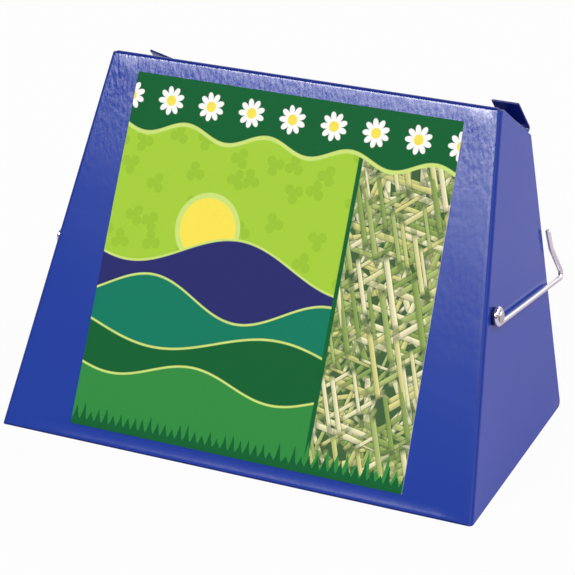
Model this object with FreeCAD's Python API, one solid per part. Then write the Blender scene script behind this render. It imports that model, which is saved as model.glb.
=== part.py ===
import FreeCAD, Part
import math
import os

# Hay rack: one folded steel sheet, two wire hooks on rivets and a label, in millimetres.
# It stands on its wide mouth here. In use it hangs the other way up, with its open back to a cage.
# X is the width, Y runs from the front to the open back and Z is up.
# The origin is the middle of the front rim. Panel sizes are those of the outer faces.

# Rack body
mouth_width = 254.0
mouth_back_width = 230.0
mouth_depth = 122.9
narrow_width = 207.4
narrow_setback = 90.5
rack_height = 165.6
end_back_height = 139.2
bottom_back_height = 141.9
sheet = 1.0
bend_radius = 1.0
rim_corner_radius = 3.0
seam_gap = 0.5
seam_run_on = 1.0

# Cage tabs, folded up from the back edge of the bottom panel
# The left tab is a little twisted, so its outer and inner sides open by different angles
tab_width = 14.1
tab_inset = 0.8
tab_reach = 4.4
tab_length = 18.6
tab_corner_radius = 0.8
right_tab_opening_degrees = 19.2
left_tab_outer_opening_degrees = 16.1
left_tab_inner_opening_degrees = 6.7

# Label on the front panel
label_foot_width = 179.9
label_head_width = 173.8
label_height = 172.0
label_above_rim = 7.7
label_thickness = 0.25

# Rivets and washers: where a hook pivots on its end panel, from the front fold and the rim
pivot_up_fold = 95.9
pivot_behind_fold = 9.0
rivet_radius = 2.2
rivet_fit = 0.05
rivet_head_overhang = 1.4
rivet_head_height = 1.4
rivet_head_taper = 1.0
rivet_tail_overhang = 1.2
rivet_tail_height = 1.1
washer_band = 2.5
washer_thickness = 0.9

# Wire hooks
wire = 2.5
running_clearance = 0.05
end_play = 0.1
eye_gap = 0.3
leg_length = 86.4
leg_degrees = 19.3
vee_radius = 2.3
vee_turn_degrees = 130.0
return_length = 21.8
kink_radius = 4.0
kink_turn_degrees = 20.0
tip_length = 10.9

Vec = FreeCAD.Vector
across = Vec(1, 0, 0)
backward = Vec(0, 1, 0)
upward = Vec(0, 0, 1)

# Sizes that follow from those above
outer_bend = bend_radius + sheet
reach = mouth_width + mouth_depth + rack_height
cut_reach = 3 * reach
touch_share = 0.001
touch = touch_share * sheet
eye_radius = rivet_radius + running_clearance + wire / 2
hook_lift = washer_thickness + end_play + wire / 2
rivet_grip = washer_thickness + wire + 2 * end_play

# Front and bottom panels: a point on the outer face, the way up or back along it, and the way out
front_rim = Vec(0, 0, 0)
narrow_fold = Vec(0, narrow_setback, rack_height)
front_slope = (narrow_fold - front_rim).normalize()
front_out = across.cross(front_slope)
panel_back = Vec(0, mouth_depth, bottom_back_height)
bottom_slope = (panel_back - narrow_fold).normalize()
bottom_out = across.cross(bottom_slope)

# Right end panel: its fold line with the front panel and its own directions
fold_foot = Vec(mouth_width / 2, 0, 0)
fold_head = Vec(narrow_width / 2, narrow_setback, rack_height)
rim_back = Vec(mouth_back_width / 2, mouth_depth, 0)
fold_up = (fold_head - fold_foot).normalize()
end_out = (rim_back - fold_foot).cross(fold_up).normalize()
end_back = fold_up.cross(end_out)
end_head = Vec(0, mouth_depth, end_back_height)
pivot = fold_foot + fold_up * pivot_up_fold + end_back * pivot_behind_fold

# The narrow bend, and where the bends of the cage tabs begin
narrow_turn = front_slope.getAngle(bottom_slope)
seam_foot = narrow_fold - front_slope * (outer_bend * math.tan(narrow_turn / 2) + seam_run_on)
panel_side = (fold_foot - end_out * (outer_bend + seam_gap) - panel_back).dot(end_out) / end_out.x
tab_side = panel_side - tab_inset
tab_root = panel_back + bottom_slope * tab_reach
tab_bend_centre = tab_root + bottom_out * bend_radius


def beyond(point, out):
    """Return a block that fills the outer side of a plane."""
    block = Part.makeBox(2 * cut_reach, 2 * cut_reach, cut_reach, Vec(-cut_reach, -cut_reach, 0))
    block.Placement = FreeCAD.Placement(point, FreeCAD.Rotation(upward, out))
    return block


def mirrored(shape):
    """Return the same shape for the left side."""
    return shape.mirror(Vec(0, 0, 0), across)


def between_ends(shape, inset):
    """Return a shape cut off at the end panels' outer faces, moved in by an inset."""
    right = beyond(fold_foot - end_out * inset, end_out)
    return shape.cut(right).cut(mirrored(right))


def edges_on(solid, *planes):
    """Return the edges whose ends lie on all of the planes, each given as a point and its normal."""
    def on_all(vertex):
        return all(abs((vertex.Point - point).dot(normal)) < touch for point, normal in planes)

    return [edge for edge in solid.Edges if all(on_all(vertex) for vertex in edge.Vertexes)]


def bend_in(corner, before, after, radius):
    """Return the three points of a bend of a given radius at the corner of an outline."""
    half_turn = before.getAngle(after) / 2
    run = radius * math.tan(half_turn)
    middle = corner + (after - before).normalize() * (radius / math.cos(half_turn) - radius)
    return corner - before * run, middle, corner + after * run


def wedge(inset):
    """Return the endless wedge between the front and end panels, with its two folds rounded."""
    block = Part.makeBox(2 * reach, 2 * reach, 2 * reach, Vec(-reach, -reach, -reach))
    foot = front_rim - front_out * inset
    block = between_ends(block.cut(beyond(foot, front_out)), inset)
    left_out = Vec(-end_out.x, end_out.y, end_out.z)
    left_foot = Vec(-fold_foot.x, fold_foot.y, fold_foot.z)
    right_fold = edges_on(block, (foot, front_out), (fold_foot - end_out * inset, end_out))
    left_fold = edges_on(block, (foot, front_out), (left_foot - left_out * inset, left_out))
    return block.makeFillet(outer_bend - inset, right_fold + left_fold)


def side_outline():
    """Return a block with the rack's outline from the side, run on past the front panel."""
    front = Vec(0, -reach, 0)
    corner = bend_in(Vec(0, mouth_depth, 0), backward, upward, rim_corner_radius)
    peak = narrow_fold + (narrow_fold - end_head).normalize() * reach
    edges = [
        Part.makeLine(front, corner[0]),
        Part.Arc(*corner).toShape(),
        Part.makeLine(corner[2], end_head),
        Part.makeLine(end_head, peak),
        Part.makeLine(peak, front),
    ]
    outline = Part.Face(Part.Wire(edges))
    outline.translate(across * -reach)
    return outline.extrude(across * (2 * reach))


def front_and_ends():
    """Return the front and end panels, cut free at the mouth, the back and the narrow edge."""
    shell = wedge(0).cut(wedge(sheet)).common(side_outline())
    return shell.cut(between_ends(beyond(seam_foot, front_slope), outer_bend))


def bottom_panel():
    """Return the bottom panel with its bend and the strip of the front panel that carries it."""
    mitre = (front_out + bottom_out) * (sheet / (1 + front_out.dot(bottom_out)))
    inner_fold = narrow_fold - mitre
    outer = [seam_foot, narrow_fold, panel_back]
    inner = [panel_back - bottom_out * sheet, inner_fold, seam_foot - front_out * sheet]
    profile = Part.Face(Part.makePolygon(outer + inner + outer[:1]))
    profile.translate(across * (-mouth_width / 2))
    panel = profile.extrude(across * mouth_width)
    for fold, radius in ((narrow_fold, outer_bend), (inner_fold, bend_radius)):
        panel = panel.makeFillet(radius, edges_on(panel, (fold, front_slope), (fold, front_out)))
    return between_ends(panel, outer_bend + seam_gap)


def tab_outline(x, opening_degrees):
    """Return the outline of a cage tab's side: its strip, its bend and its straight arm."""
    turned = FreeCAD.Rotation(across, 180 - opening_degrees)
    half_turned = FreeCAD.Rotation(across, 90 - opening_degrees / 2)
    arm = turned.multVec(bottom_slope) * tab_length
    down = bottom_out.negative()
    rays = (down, half_turned.multVec(down), turned.multVec(down))

    def bend(radius):
        return [tab_bend_centre + ray * radius for ray in rays]

    near = bend(bend_radius)
    far = bend(outer_bend)
    edges = [
        Part.makeLine(panel_back, near[0]),
        Part.Arc(*near).toShape(),
        Part.makeLine(near[2], near[2] + arm),
        Part.makeLine(near[2] + arm, far[2] + arm),
        Part.makeLine(far[2] + arm, far[2]),
        Part.Arc(*reversed(far)).toShape(),
        Part.makeLine(far[0], panel_back - bottom_out * sheet),
        Part.makeLine(panel_back - bottom_out * sheet, panel_back),
    ]
    outline = Part.Wire(edges)
    outline.translate(across * x)
    return outline


def cage_tab(outer_opening_degrees, inner_opening_degrees):
    """Return the right cage tab, ruled from its outer side to its inner side."""
    outer = tab_outline(tab_side, outer_opening_degrees)
    inner = tab_outline(tab_side - tab_width, inner_opening_degrees)
    tab = Part.makeLoft([outer, inner], True, True)
    tips = [side.Edges[3].CenterOfMass for side in (outer, inner)]
    corners = [edge for edge in tab.Edges if any((edge.CenterOfMass - tip).Length < touch for tip in tips)]
    return tab.makeFillet(tab_corner_radius, corners)


def rivet_hole():
    """Return the drill for the rivet's hole in the right end panel."""
    drill = Part.makeCylinder(rivet_radius + rivet_fit, 2 * outer_bend, Vec(0, 0, -outer_bend))
    return on_right_end(drill)


def rack_body():
    """Return the whole folded sheet with its tabs and rivet holes."""
    right_tab = cage_tab(right_tab_opening_degrees, right_tab_opening_degrees)
    left_tab = mirrored(cage_tab(left_tab_outer_opening_degrees, left_tab_inner_opening_degrees))
    body = front_and_ends().fuse([bottom_panel(), right_tab, left_tab]).removeSplitter()
    drill = rivet_hole()
    return body.cut(drill).cut(mirrored(drill))


def label():
    """Return the label, a tapered sheet on the front panel."""
    foot = front_rim + front_slope * label_above_rim
    head = foot + front_slope * label_height
    foot_half = across * (label_foot_width / 2)
    head_half = across * (label_head_width / 2)
    corners = [foot - foot_half, foot + foot_half, head + head_half, head - head_half]
    face = Part.Face(Part.makePolygon(corners + corners[:1]))
    return face.extrude(front_out * label_thickness)


def on_right_end(shape):
    """Return a shape moved to the right pivot: its X runs back, its Y up the fold and its Z out."""
    axes = FreeCAD.Matrix()
    axes.setCol(0, end_back)
    axes.setCol(1, fold_up)
    axes.setCol(2, end_out)
    seat = FreeCAD.Placement(pivot, FreeCAD.Placement(axes).Rotation)
    seated = shape.copy()
    seated.Placement = seat * shape.Placement
    return seated


def rivet():
    """Return the right rivet: shank, tapered outer head and the tail set against the inner face."""
    head_radius = rivet_radius + rivet_head_overhang
    shank = Part.makeCylinder(rivet_radius, sheet + rivet_grip, Vec(0, 0, -sheet))
    head_foot = Vec(0, 0, rivet_grip)
    head = Part.makeCone(head_radius, head_radius - rivet_head_taper, rivet_head_height, head_foot)
    tail_foot = Vec(0, 0, -sheet - rivet_tail_height)
    tail = Part.makeCylinder(rivet_radius + rivet_tail_overhang, rivet_tail_height, tail_foot)
    return on_right_end(shank.fuse([head, tail]).removeSplitter())


def washer():
    """Return the right washer, which holds the hook off the painted panel."""
    disc = Part.makeCylinder(rivet_radius + washer_band, washer_thickness)
    bore = Part.makeCylinder(rivet_radius + rivet_fit, 2 * washer_thickness)
    return on_right_end(disc.cut(bore))


def heading(degrees):
    """Return the unit vector of a direction in the hook's plane."""
    return Vec(math.cos(math.radians(degrees)), math.sin(math.radians(degrees)), 0)


def hook_path():
    """Return the hook's centre line, from the eye's free end to the tip."""
    free_sine = (eye_radius - wire / 2 - eye_gap) / (eye_radius + wire / 2)
    free_degrees = -math.degrees(math.asin(free_sine))
    eye_sweep = 270 - free_degrees
    quarter_shares = (0, 0.25, 0.5, 0.75, 1)
    eye = [heading(leg_degrees + free_degrees + share * eye_sweep) * eye_radius for share in quarter_shares]
    out = heading(leg_degrees)
    home = heading(leg_degrees + vee_turn_degrees)
    away = heading(leg_degrees + vee_turn_degrees - kink_turn_degrees)
    vee = eye[4] + out * leg_length
    kink = vee + home * return_length
    vee_bend = bend_in(vee, out, home, vee_radius)
    kink_bend = bend_in(kink, home, away, kink_radius)
    edges = [
        Part.Arc(*eye[0:3]).toShape(),
        Part.Arc(*eye[2:5]).toShape(),
        Part.makeLine(eye[4], vee_bend[0]),
        Part.Arc(*vee_bend).toShape(),
        Part.makeLine(vee_bend[2], kink_bend[0]),
        Part.Arc(*kink_bend).toShape(),
        Part.makeLine(kink_bend[2], kink + away * tip_length),
    ]
    return Part.Wire(edges)


def hook():
    """Return the right wire hook: an eye round the rivet, a leg, a V and a bent tip."""
    path = hook_path()
    start = path.Edges[0]
    along = start.tangentAt(start.FirstParameter)
    section = Part.Wire(Part.makeCircle(wire / 2, start.valueAt(start.FirstParameter), along))
    bent = path.makePipeShell([section], True, False)
    swept = math.pi * wire * wire / 4 * path.Length
    print("hook volume over section times length:", round(bent.Volume / swept, 5))
    bent.translate(Vec(0, 0, hook_lift))
    return on_right_end(bent)


def main():
    """Build every piece and write it to its own file."""
    pieces = {"rack_body": rack_body(), "label": label()}
    for name, piece in (("hook", hook()), ("rivet", rivet()), ("washer", washer())):
        pieces[name + "_right"] = piece
        pieces[name + "_left"] = mirrored(piece)
    os.makedirs("parts", exist_ok=True)
    for name, shape in pieces.items():
        box = shape.BoundBox
        low = [round(value, 2) for value in (box.XMin, box.YMin, box.ZMin)]
        high = [round(value, 2) for value in (box.XMax, box.YMax, box.ZMax)]
        print(name, shape.isValid(), len(shape.Solids), round(shape.Volume, 2), low, high)
        shape.exportStep("parts/" + name + ".step")


main()
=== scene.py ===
"""Looks of a folded sheet-steel hay rack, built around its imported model.

The meshes are worked out in millimetres, in the model's own axes: X across the rack, Y from the
front panel to the open back and Z up. Each finished mesh is then scaled to metres.
"""

import logging
import math
from collections.abc import Callable
from dataclasses import dataclass, field
from enum import Enum
from functools import partial

import bmesh
import bpy
from bmesh.types import BMEdge, BMesh, BMFace, BMVert
from mathutils import Matrix, Vector


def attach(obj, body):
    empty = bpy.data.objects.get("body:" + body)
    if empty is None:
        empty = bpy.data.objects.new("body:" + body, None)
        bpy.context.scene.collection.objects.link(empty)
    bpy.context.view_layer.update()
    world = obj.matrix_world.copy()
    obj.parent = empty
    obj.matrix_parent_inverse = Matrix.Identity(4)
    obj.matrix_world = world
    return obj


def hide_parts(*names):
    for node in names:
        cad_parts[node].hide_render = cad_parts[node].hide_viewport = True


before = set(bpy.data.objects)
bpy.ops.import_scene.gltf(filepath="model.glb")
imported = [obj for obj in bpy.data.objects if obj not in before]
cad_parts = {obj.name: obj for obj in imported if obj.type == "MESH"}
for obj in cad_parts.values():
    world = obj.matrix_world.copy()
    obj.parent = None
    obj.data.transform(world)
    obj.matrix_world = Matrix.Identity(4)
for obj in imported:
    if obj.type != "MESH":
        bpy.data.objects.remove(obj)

log = logging.getLogger("hay_rack")

MM = 0.001
MERGE_MM = 0.004
CUT_SLACK_MM = 1e-4
ACROSS = Vector((1, 0, 0))
BACKWARD = Vector((0, 1, 0))
UPWARD = Vector((0, 0, 1))
WHITE = "#FFFFFF"
FLAT_FACE_WEIGHT = 60
# The material number that marks the sheet's cut edges while it is made
CUT_EDGE = 1
# The numbers of a Mix node's sockets for colours
MIX_SHARE, MIX_UNDER, MIX_OVER = 0, 6, 7
MIXED = 2

AddNode = Callable[..., bpy.types.Node]
Feed = bpy.types.Node | bpy.types.NodeSocket


class Side(Enum):
    """An end of the rack, with the sign of its X."""

    RIGHT = 1
    LEFT = -1


class Rounded(Enum):
    """What a rounding takes, with the bevel's own word for it."""

    EDGES = "EDGES"
    CORNERS = "VERTICES"


def linear(hex_colour: str) -> tuple[float, float, float, float]:
    """Turn an sRGB hex colour into the linear colour that a shader takes.

    Args:
        hex_colour: The colour as six hex digits after a hash mark.

    Returns:
        The linear red, green, blue and an alpha of 1.
    """
    digits = hex_colour.lstrip("#")
    shares = [int(digits[start:start + 2], 16) / 255 for start in (0, 2, 4)]
    lin = [c / 12.92 if c <= 0.04045 else ((c + 0.055) / 1.055) ** 2.4 for c in shares]
    return (*lin, 1.0)


def per_mm(size: float) -> float:
    """Return the texture scale at which one feature spans a size in millimetres."""
    return 1 / (size * MM)


def add_node(tree: bpy.types.NodeTree, kind: str, inputs: dict | None = None,
             **settings: object) -> bpy.types.Node:
    """Add a shader node with its settings, values and links.

    Args:
        tree: The node tree that takes the node.
        kind: The node's type name without its leading ShaderNode.
        inputs: What each input takes, by the input's name or number: a value, an output socket, or
            a node whose first output is meant.
        **settings: The node's own properties.

    Returns:
        The new node.
    """
    node = tree.nodes.new(f"ShaderNode{kind}")
    for name, value in settings.items():
        setattr(node, name, value)
    for key, value in (inputs or {}).items():
        source = value.outputs[0] if isinstance(value, bpy.types.Node) else value
        if isinstance(source, bpy.types.NodeSocket):
            tree.links.new(source, node.inputs[key])
        else:
            node.inputs[key].default_value = source
    return node


def new_material(name: str) -> tuple[bpy.types.Material, AddNode]:
    """Make a material with an empty node tree.

    Args:
        name: The name of the real material.

    Returns:
        The material, and add_node for its tree.
    """
    material = bpy.data.materials.new(name)
    material.use_nodes = True
    material.node_tree.nodes.clear()
    return material, partial(add_node, material.node_tree)


@dataclass(frozen=True)
class BakedPaint:
    """Glossy stoving enamel on steel, sprayed thick and baked.

    The spray leaves orange peel that sags a little, so the eye sees a deep even blue in which the
    light's reflection breaks up into small upright wrinkles, deepest near the narrow end. The blue is
    drawn darker on cut edges, folds and the rim, partly for paint that pools thick there and partly as
    painted shade, and darker on the inner face of the right tab as painted shade only.
    """

    name: str = "stoved_blue_enamel"
    colour: str = "#1E3A9B"
    thin_colour: str = "#22419F"
    pooled_and_shade_colour: str = "#15206E"
    pooled_and_shade_layer: str = "pooled_paint_and_shade"
    roughness: float = 0.11
    ior: float = 1.5
    peel_mm: float = 1.9
    peel_stretch: float = 2.0
    peel_detail: float = 2.0
    peel_sharpness: float = 0.45
    peel_depth_mm: float = 0.1
    least_peel: float = 0.27
    peel_grows_mm: tuple[float, float] = (108.0, 162.0)
    ripple_mm: float = 45.0
    ripple_depth_mm: float = 0.12

    def make(self) -> bpy.types.Material:
        """Return the paint as a material."""
        material, add = new_material(self.name)
        place = add("TexCoord").outputs["Object"]
        drawn_out = 1 / self.peel_stretch
        run = add("Mapping", {"Vector": place, "Scale": (1.0, drawn_out, drawn_out)})
        peel = add("TexNoise", {"Vector": run, "Scale": per_mm(self.peel_mm), "Detail": self.peel_detail,
                                "Roughness": self.peel_sharpness})
        ripple = add("TexNoise", {"Vector": place, "Scale": per_mm(self.ripple_mm)})
        depth = add("Mix", {MIX_SHARE: ripple, MIX_UNDER: linear(self.colour),
                            MIX_OVER: linear(self.thin_colour)}, data_type="RGBA")
        # Darker blue where the sheet marks it: pooled paint and painted shade on cut edges, folds and rim,
        # painted shade on the right tab
        pooled_and_shaded = add("Attribute", attribute_name=self.pooled_and_shade_layer).outputs["Fac"]
        coat = add("Mix", {MIX_SHARE: pooled_and_shaded, MIX_UNDER: depth.outputs[MIXED],
                           MIX_OVER: linear(self.pooled_and_shade_colour)}, data_type="RGBA")
        wave = add("Bump", {"Height": ripple, "Strength": 1.0, "Distance": self.ripple_depth_mm * MM})
        height = add("SeparateXYZ", {0: place}).outputs["Z"]
        low, high = self.peel_grows_mm
        growth = add("MapRange", {"Value": height, "From Min": low * MM, "From Max": high * MM,
                                  "To Min": self.least_peel}, interpolation_type="SMOOTHSTEP")
        skin = add("Bump", {"Height": peel, "Strength": growth, "Distance": self.peel_depth_mm * MM,
                            "Normal": wave})
        paint = add("BsdfPrincipled", {"Base Color": coat.outputs[MIXED], "Roughness": self.roughness,
                                       "IOR": self.ior, "Normal": skin})
        add("OutputMaterial", {"Surface": paint})
        return material


@dataclass(frozen=True)
class PlatedSteel:
    """Steel under a thin bright plating.

    Drawn wire and stamped rivets keep a faint grain under the plating, so the eye sees a mirror
    that is slightly soft, in warm grey. The real grain is too fine to show and is drawn coarser.
    """

    name: str
    colour: str
    roughness: float
    grain_mm: float = 0.6
    grain_detail: float = 3.0
    grain_depth_mm: float = 0.004

    def make(self) -> bpy.types.Material:
        """Return the plated steel as a material."""
        material, add = new_material(self.name)
        place = add("TexCoord").outputs["Object"]
        grain = add("TexNoise", {"Vector": place, "Scale": per_mm(self.grain_mm),
                                 "Detail": self.grain_detail})
        dents = add("Bump", {"Height": grain, "Strength": 1.0, "Distance": self.grain_depth_mm * MM})
        steel = add("BsdfPrincipled", {"Base Color": linear(self.colour), "Metallic": 1.0,
                                       "Roughness": self.roughness, "Normal": dents})
        add("OutputMaterial", {"Surface": steel})
        return material


class Ink(Enum):
    """The inks of the label's print, and the bare paper."""

    PAPER = "#FAFAF5"
    LIME = "#A4CE39"
    CLOVER = "#98C431"
    PALE_LIME = "#CBE27A"
    DARK_GREEN = "#005F2D"
    MID_GREEN = "#2E8B3D"
    TEAL = "#00795C"
    NAVY = "#24286A"
    YELLOW = "#F7E452"
    HAY_SHADE = "#3F5F38"
    HAY_GREEN = "#8FA957"
    HAY_LEAF = "#B4C675"
    HAY_STRAW = "#DCD98B"
    HAY_PALE = "#EFEBBB"


@dataclass(frozen=True)
class Rosette:
    """A flower or leaf of round lobes.

    The waist is how far in the notches between the lobes reach, as a share of the radius.
    """

    radius: float
    lobes: int
    waist: float
    roundness: float = 0.6


class PrintedPaper:
    """Coated label paper, printed with a plain meadow and varnished.

    The inks lie flush in the paper, so the eye sees flat clean colours with soft edges and an even
    satin sheen, and no relief. The paper's fibre is too fine to show and is drawn coarser. The print
    is drawn in millimetres on the label's own plane.
    """

    name = "varnished_label_paper"
    roughness = 0.5
    gloss = 0.1
    edge_blur = 0.18
    fibre_mm = 0.9
    fibre_tone = (0.96, 1.03)
    clover = Rosette(radius=5.2, lobes=3, waist=0.25)
    clover_spacing = 17.0
    clover_scatter = 0.75
    sun = (-34.0, 103.0)
    sun_rings = ((Ink.PALE_LIME, 17.5), (Ink.YELLOW, 15.0))
    # Each hill's ink, level, height, length of wave and phase
    hills = ((Ink.NAVY, 92.0, 9.0, 118.0, 2.4), (Ink.TEAL, 70.0, 8.0, 96.0, 5.4),
             (Ink.DARK_GREEN, 51.0, 7.0, 132.0, 0.9), (Ink.MID_GREEN, 33.0, 5.0, 88.0, 3.6))
    hill_line = 1.1
    hay_from = 40.0
    hay_line = 2.2
    # Each layer's lie in degrees and the room that a stalk has, along and across
    straw_layers = ((28.0, 46.0, 5.4), (-52.0, 42.0, 4.4), (81.0, 52.0, 6.0), (-17.0, 58.0, 4.8),
                    (58.0, 44.0, 5.6), (-74.0, 50.0, 4.0), (9.0, 54.0, 4.4), (-38.0, 40.0, 4.6),
                    (70.0, 48.0, 4.2))
    straw_shift = (7.3, 3.1)
    stalk_inks = (Ink.HAY_GREEN, Ink.HAY_LEAF, Ink.HAY_STRAW, Ink.HAY_PALE)
    ink_blend = 0.06
    stalk_breadth = (0.16, 0.36)
    stalk_blur = 0.25
    shadow_width = 0.5
    shadow_depth = 0.6
    rib_reach = 0.25
    rib_tone = (0.72, 1.08)
    garland_level = 146.0
    garland_wave = (3.2, 44.0, 0.0)
    garland_line = 2.0
    daisy = Rosette(radius=7.0, lobes=9, waist=0.45)
    daisy_turn = 0.3
    daisy_eye = 0.36
    daisy_spacing = 22.0
    daisy_row = 160.5
    # Each row's ink, width of blade, height and shift
    grass_rows = ((Ink.MID_GREEN, 5.2, 17.0, 0.0), (Ink.DARK_GREEN, 4.1, 12.0, 31.0))
    blade_taper = 1.4
    sod_share = 0.25

    def __init__(self, slope_degrees: float, foot: float) -> None:
        """Lay the print's axes on the label.

        Args:
            slope_degrees: The label's slope.
            foot: How far up the slope the label begins, in millimetres.
        """
        self.material, self.add = new_material(self.name)
        place = self.add("TexCoord").outputs["Object"]
        turned = self.add("Mapping", {"Vector": place, "Location": (0, -foot, 0),
                                      "Rotation": (-math.radians(slope_degrees), 0, 0),
                                      "Scale": (1 / MM, 1 / MM, 1 / MM)})
        axes = self.add("SeparateXYZ", {0: turned}).outputs
        self.across, self.up = axes["X"], axes["Y"]
        self.place = self.add("CombineXYZ", {"X": self.across, "Y": self.up})

    def make(self) -> bpy.types.Material:
        """Return the printed paper as a material."""
        picture = self._hay_band(self._meadow(self._clover_field()))
        picture = self._grass(self._garland(picture))
        fibre = self.add("TexNoise", {"Vector": self.place, "Scale": 1 / self.fibre_mm})
        dark, light = self.fibre_tone
        tone = self.add("MapRange", {"Value": fibre, "To Min": dark, "To Max": light})
        paper = self.add("BsdfPrincipled", {"Base Color": self._toned(picture, tone),
                                            "Roughness": self.roughness, "Specular IOR Level": self.gloss})
        self.add("OutputMaterial", {"Surface": paper})
        return self.material

    def _lay(self, under: Feed | Ink, ink: Feed | Ink, mask: Feed) -> Feed:
        """Print an ink over a picture wherever a mask is 1, and return the new picture."""
        below, above = (linear(c.value) if isinstance(c, Ink) else c for c in (under, ink))
        return self.add("Mix", {MIX_SHARE: mask, MIX_UNDER: below, MIX_OVER: above},
                        data_type="RGBA").outputs[MIXED]

    def _toned(self, picture: Feed, tone: Feed) -> Feed:
        """Return a picture that is lighter or darker by a tone."""
        return self.add("Mix", {MIX_SHARE: 1.0, MIX_UNDER: picture, MIX_OVER: tone}, data_type="RGBA",
                        blend_type="MULTIPLY").outputs[MIXED]

    def _inside(self, measure: Feed, limit: Feed | float) -> Feed:
        """Return a mask that is 1 where a measure stays under a limit, with the ink's soft edge."""
        spare = self.add("Math", {0: limit, 1: measure}, operation="SUBTRACT")
        return self.add("MapRange", {"Value": spare, "From Min": -self.edge_blur, "From Max": self.edge_blur})

    def _wave(self, level: float, height: float, length: float, phase: float) -> Feed:
        """Draw a wavy line across the label.

        Args:
            level: The line's middle, above the label's foot.
            height: How far it rises and falls.
            length: The length of a wave.
            phase: Where the wave begins, in radians.

        Returns:
            The line's height at each place across the label.
        """
        turn = self.add("Math", {0: self.across, 1: 2 * math.pi / length, 2: phase}, operation="MULTIPLY_ADD")
        sine = self.add("Math", {0: turn}, operation="SINE")
        return self.add("Math", {0: sine, 1: height, 2: level}, operation="MULTIPLY_ADD")

    def _rosette(self, local: Feed, kind: Rosette, turn: Feed | float) -> Feed:
        """Draw a flower or leaf.

        Args:
            local: The place measured from the rosette's middle.
            kind: The rosette's shape.
            turn: The rosette's turn in radians.

        Returns:
            The rosette's mask.
        """
        reach = self.add("VectorMath", {0: local}, operation="LENGTH").outputs["Value"]
        axes = self.add("SeparateXYZ", {0: local}).outputs
        angle = self.add("Math", {0: axes["Y"], 1: axes["X"]}, operation="ARCTAN2")
        turned = self.add("Math", {0: angle, 1: turn}, operation="ADD")
        half = self.add("Math", {0: turned, 1: kind.lobes / 2}, operation="MULTIPLY")
        swing = self.add("Math", {0: half}, operation="COSINE")
        lobe = self.add("Math", {0: swing}, operation="ABSOLUTE")
        rounded = self.add("Math", {0: lobe, 1: kind.roundness}, operation="POWER")
        notch = kind.radius * kind.waist
        edge = self.add("Math", {0: rounded, 1: kind.radius - notch, 2: notch}, operation="MULTIPLY_ADD")
        return self._inside(reach, edge)

    def _clover_field(self) -> Feed:
        """Return the lime ground with a scatter of faint clover leaves."""
        cells = self.add("TexVoronoi", {"Vector": self.place, "Scale": 1 / self.clover_spacing,
                                        "Randomness": self.clover_scatter}, voronoi_dimensions="2D").outputs
        local = self.add("VectorMath", {0: self.place, 1: cells["Position"]}, operation="SUBTRACT")
        chance = self.add("SeparateColor", {0: cells["Color"]})
        turn = self.add("Math", {0: chance, 1: 2 * math.pi}, operation="MULTIPLY")
        return self._lay(Ink.LIME, Ink.CLOVER, self._rosette(local, self.clover, turn))

    def _hay_band(self, under: Feed) -> Feed:
        """Print a band of loose hay down the label's right side, beside a dark line.

        Args:
            under: The picture so far.

        Returns:
            The new picture.
        """
        left = self.add("Math", {0: self.across, 1: -1.0}, operation="MULTIPLY")
        lined = self._lay(under, Ink.DARK_GREEN, self._inside(left, self.hay_line - self.hay_from))
        return self._lay(lined, self._hay(), self._inside(left, -self.hay_from))

    def _hay(self) -> Feed:
        """Return a mat of hay: layers of straight stalks and leaves that cross each other."""
        mat = Ink.HAY_SHADE
        narrow, broad = self.stalk_breadth
        dark, light = self.rib_tone
        for number, (degrees, length, width) in enumerate(self.straw_layers):
            shift = [step * number for step in self.straw_shift]
            lie = self.add("Mapping", {"Vector": self.place, "Rotation": (0, 0, math.radians(degrees)),
                                       "Location": (*shift, 0)})
            squeezed = self.add("VectorMath", {0: lie, 1: (1 / length, 1 / width, 0)}, operation="MULTIPLY")
            stalks = self.add("TexVoronoi", {"Vector": squeezed, "Scale": 1.0}, voronoi_dimensions="2D",
                              distance="CHEBYCHEV").outputs
            chance = self.add("SeparateColor", {0: stalks["Color"]}).outputs
            breadth = self.add("MapRange", {"Value": chance["Green"], "To Min": narrow, "To Max": broad})
            spare = self.add("Math", {0: breadth, 1: stalks["Distance"]}, operation="SUBTRACT")
            shape = self.add("MapRange", {"Value": spare, "From Max": self.stalk_blur / width})
            shade = self.add("MapRange", {"Value": spare, "From Min": -self.shadow_width / width,
                                          "From Max": 0.0, "To Max": self.shadow_depth})
            local = self.add("VectorMath", {0: squeezed, 1: stalks["Position"]}, operation="SUBTRACT")
            aside = self.add("SeparateXYZ", {0: local}).outputs["Y"]
            rib = self.add("MapRange", {"Value": aside, "From Min": -self.rib_reach,
                                        "From Max": self.rib_reach, "To Min": dark, "To Max": light})
            ribbed = self._toned(self._stalk_colour(chance["Red"]), rib)
            mat = self._lay(self._lay(mat, Ink.HAY_SHADE, shade), ribbed, shape)
        return mat

    def _stalk_colour(self, chance: Feed) -> Feed:
        """Pick one of the hay's inks for each stalk.

        Args:
            chance: A number from 0 to 1 for each stalk.

        Returns:
            The stalks' colours.
        """
        colour = self.stalk_inks[0]
        for step, ink in enumerate(self.stalk_inks[1:], 1):
            middle = step / len(self.stalk_inks)
            pick = self.add("MapRange", {"Value": chance, "From Min": middle - self.ink_blend,
                                         "From Max": middle + self.ink_blend})
            colour = self._lay(colour, ink, pick)
        return colour

    def _meadow(self, under: Feed) -> Feed:
        """Print a low sun and rows of hills, each nearer than the last.

        Args:
            under: The picture so far.

        Returns:
            The new picture.
        """
        picture = under
        away = self.add("VectorMath", {0: self.place, 1: (*self.sun, 0)}, operation="DISTANCE")
        for ink, radius in self.sun_rings:
            picture = self._lay(picture, ink, self._inside(away.outputs["Value"], radius))
        for ink, level, height, length, phase in self.hills:
            for colour, drop in ((Ink.PALE_LIME, 0.0), (ink, self.hill_line)):
                hill = self._inside(self.up, self._wave(level - drop, height, length, phase))
                picture = self._lay(picture, colour, hill)
        return picture

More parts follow.
